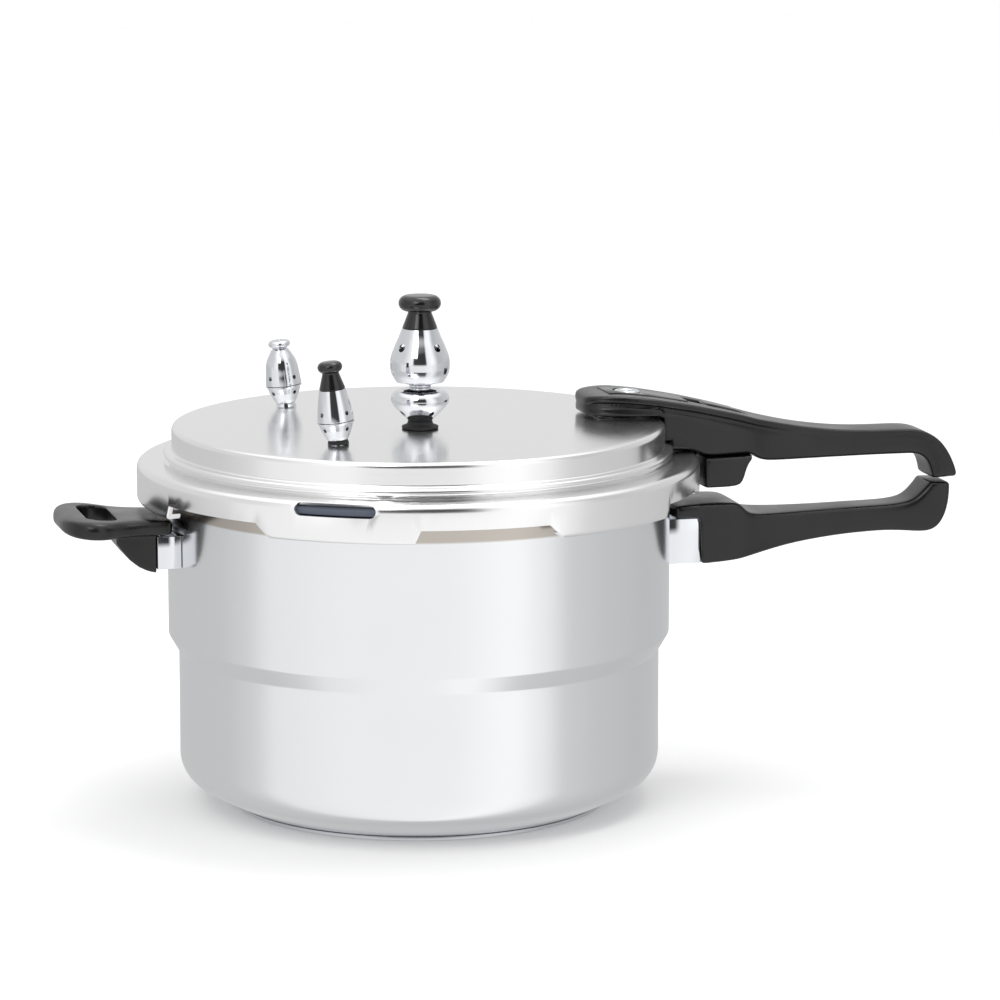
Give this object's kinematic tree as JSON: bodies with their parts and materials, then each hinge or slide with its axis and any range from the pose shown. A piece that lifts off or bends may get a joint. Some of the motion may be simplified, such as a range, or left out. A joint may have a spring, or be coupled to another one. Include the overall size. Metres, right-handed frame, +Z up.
{
  "type": "pressure canner",
  "caption": "Stepped aluminium pressure canner with a twist-lock lid, long paired handles, a helper handle, a vent-pipe weight, two spring valves and an inner rack.",
  "frame": {"origin": "centre of the flat base, on the surface the pot stands on", "axes": "+Z up; +X along the two long handles; the helper handle points along -X"},
  "size_m": [0.5289, 0.32, 0.2948],
  "materials": {
    "aluminium": "mirror-polished pressed aluminium, faint turning marks",
    "aluminium_tray": "satin pressed aluminium",
    "aluminium_fastener": "upset rivet heads, satin",
    "steel_satin": "satin stainless sheet",
    "steel_fastener": "bright zinc or stainless hardware",
    "chrome": "polished chrome plate",
    "bakelite": "semi-gloss black phenolic, as moulded",
    "bakelite_gloss": "glossy black phenolic",
    "silicone": "matt blue-grey silicone",
    "black_rubber": "matt black rubber"
  },
  "bodies": {
    "pot": {"pot_body": "aluminium", "induction_plate": "steel_satin", "pot_bracket": "chrome", "pot_bracket_rivet_1": "aluminium_fastener", "pot_bracket_rivet_2": "aluminium_fastener", "pot_handle": "bakelite", "pot_handle_screw": "steel_fastener", "helper_bracket": "chrome", "helper_bracket_rivet_1": "aluminium_fastener", "helper_bracket_rivet_2": "aluminium_fastener", "helper_handle": "bakelite", "helper_handle_screw": "steel_fastener", "helper_handle_nut": "steel_fastener"},
    "rack": {"steam_tray": "aluminium_tray"},
    "lid": {"lid_shell": "aluminium", "sealing_gasket": "silicone", "lid_bracket": "steel_satin", "lid_bracket_rivet_1": "aluminium_fastener", "lid_bracket_rivet_2": "aluminium_fastener", "lid_handle": "bakelite", "lid_handle_base": "bakelite", "handle_inlay": "bakelite_gloss", "lid_handle_screw_1": "steel_fastener", "lid_handle_screw_2": "steel_fastener", "float_bush": "steel_fastener", "indicator_ring": "steel_satin", "vent_pipe": "chrome", "vent_pipe_nut": "steel_fastener", "strainer_cap": "steel_satin", "regulator_gasket": "black_rubber", "regulator_cup": "chrome", "relief_valve_foot": "black_rubber", "relief_valve_body": "chrome", "relief_valve_cap": "chrome", "relief_valve_spring": "steel_fastener", "relief_valve_nut": "steel_fastener", "safety_valve_foot": "chrome", "safety_valve_body": "chrome", "safety_valve_cap": "chrome", "safety_valve_spring": "steel_fastener", "safety_valve_nut": "steel_fastener"},
    "weight": {"regulator_shell": "chrome", "regulator_core": "steel_fastener", "regulator_knob": "bakelite_gloss"},
    "relief_plunger": {"relief_valve_plunger": "steel_fastener", "relief_valve_knob": "bakelite_gloss"},
    "safety_plunger": {"safety_valve_plunger": "steel_fastener", "safety_valve_button": "chrome"},
    "float": {"float_pin": "steel_fastener", "float_seal": "silicone"},
    "lock": {"slide_button": "bakelite_gloss", "lock_bolt": "steel_fastener"}
  },
  "joints": [
    {"name": "lid_turn", "type": "hinge", "parent": "pot", "child": "lid", "pos_m": [0, 0, 0.19], "axis": [0, 0, 1], "range_deg": [0, 30]},
    {"name": "rack_lift", "type": "slide", "parent": "pot", "child": "rack", "axis": [0, 0, 1], "range_m": [0, 0.085]},
    {"name": "weight_lift", "type": "slide", "parent": "lid", "child": "weight", "axis": [0, 0, 1], "range_m": [0, 0.03]},
    {"name": "relief_valve_lift", "type": "slide", "parent": "lid", "child": "relief_plunger", "axis": [-0.1045, 0, 0.9945], "range_m": [0, 0.003], "stiffness_N_per_m": 1500, "springref_m": -0.002, "deforming": ["relief_valve_spring"]},
    {"name": "safety_valve_lift", "type": "slide", "parent": "lid", "child": "safety_plunger", "axis": [-0.1045, 0, 0.9945], "range_m": [0, 0.003], "stiffness_N_per_m": 1500, "springref_m": -0.002, "deforming": ["safety_valve_spring"]},
    {"name": "float_pin_rise", "type": "slide", "parent": "lid", "child": "float", "axis": [0, 0, 1], "range_m": [0, 0.0032]},
    {"name": "lock_slide", "type": "slide", "parent": "lid", "child": "lock", "axis": [-1, 0, 0], "range_m": [0, 0.009]}
  ]
}
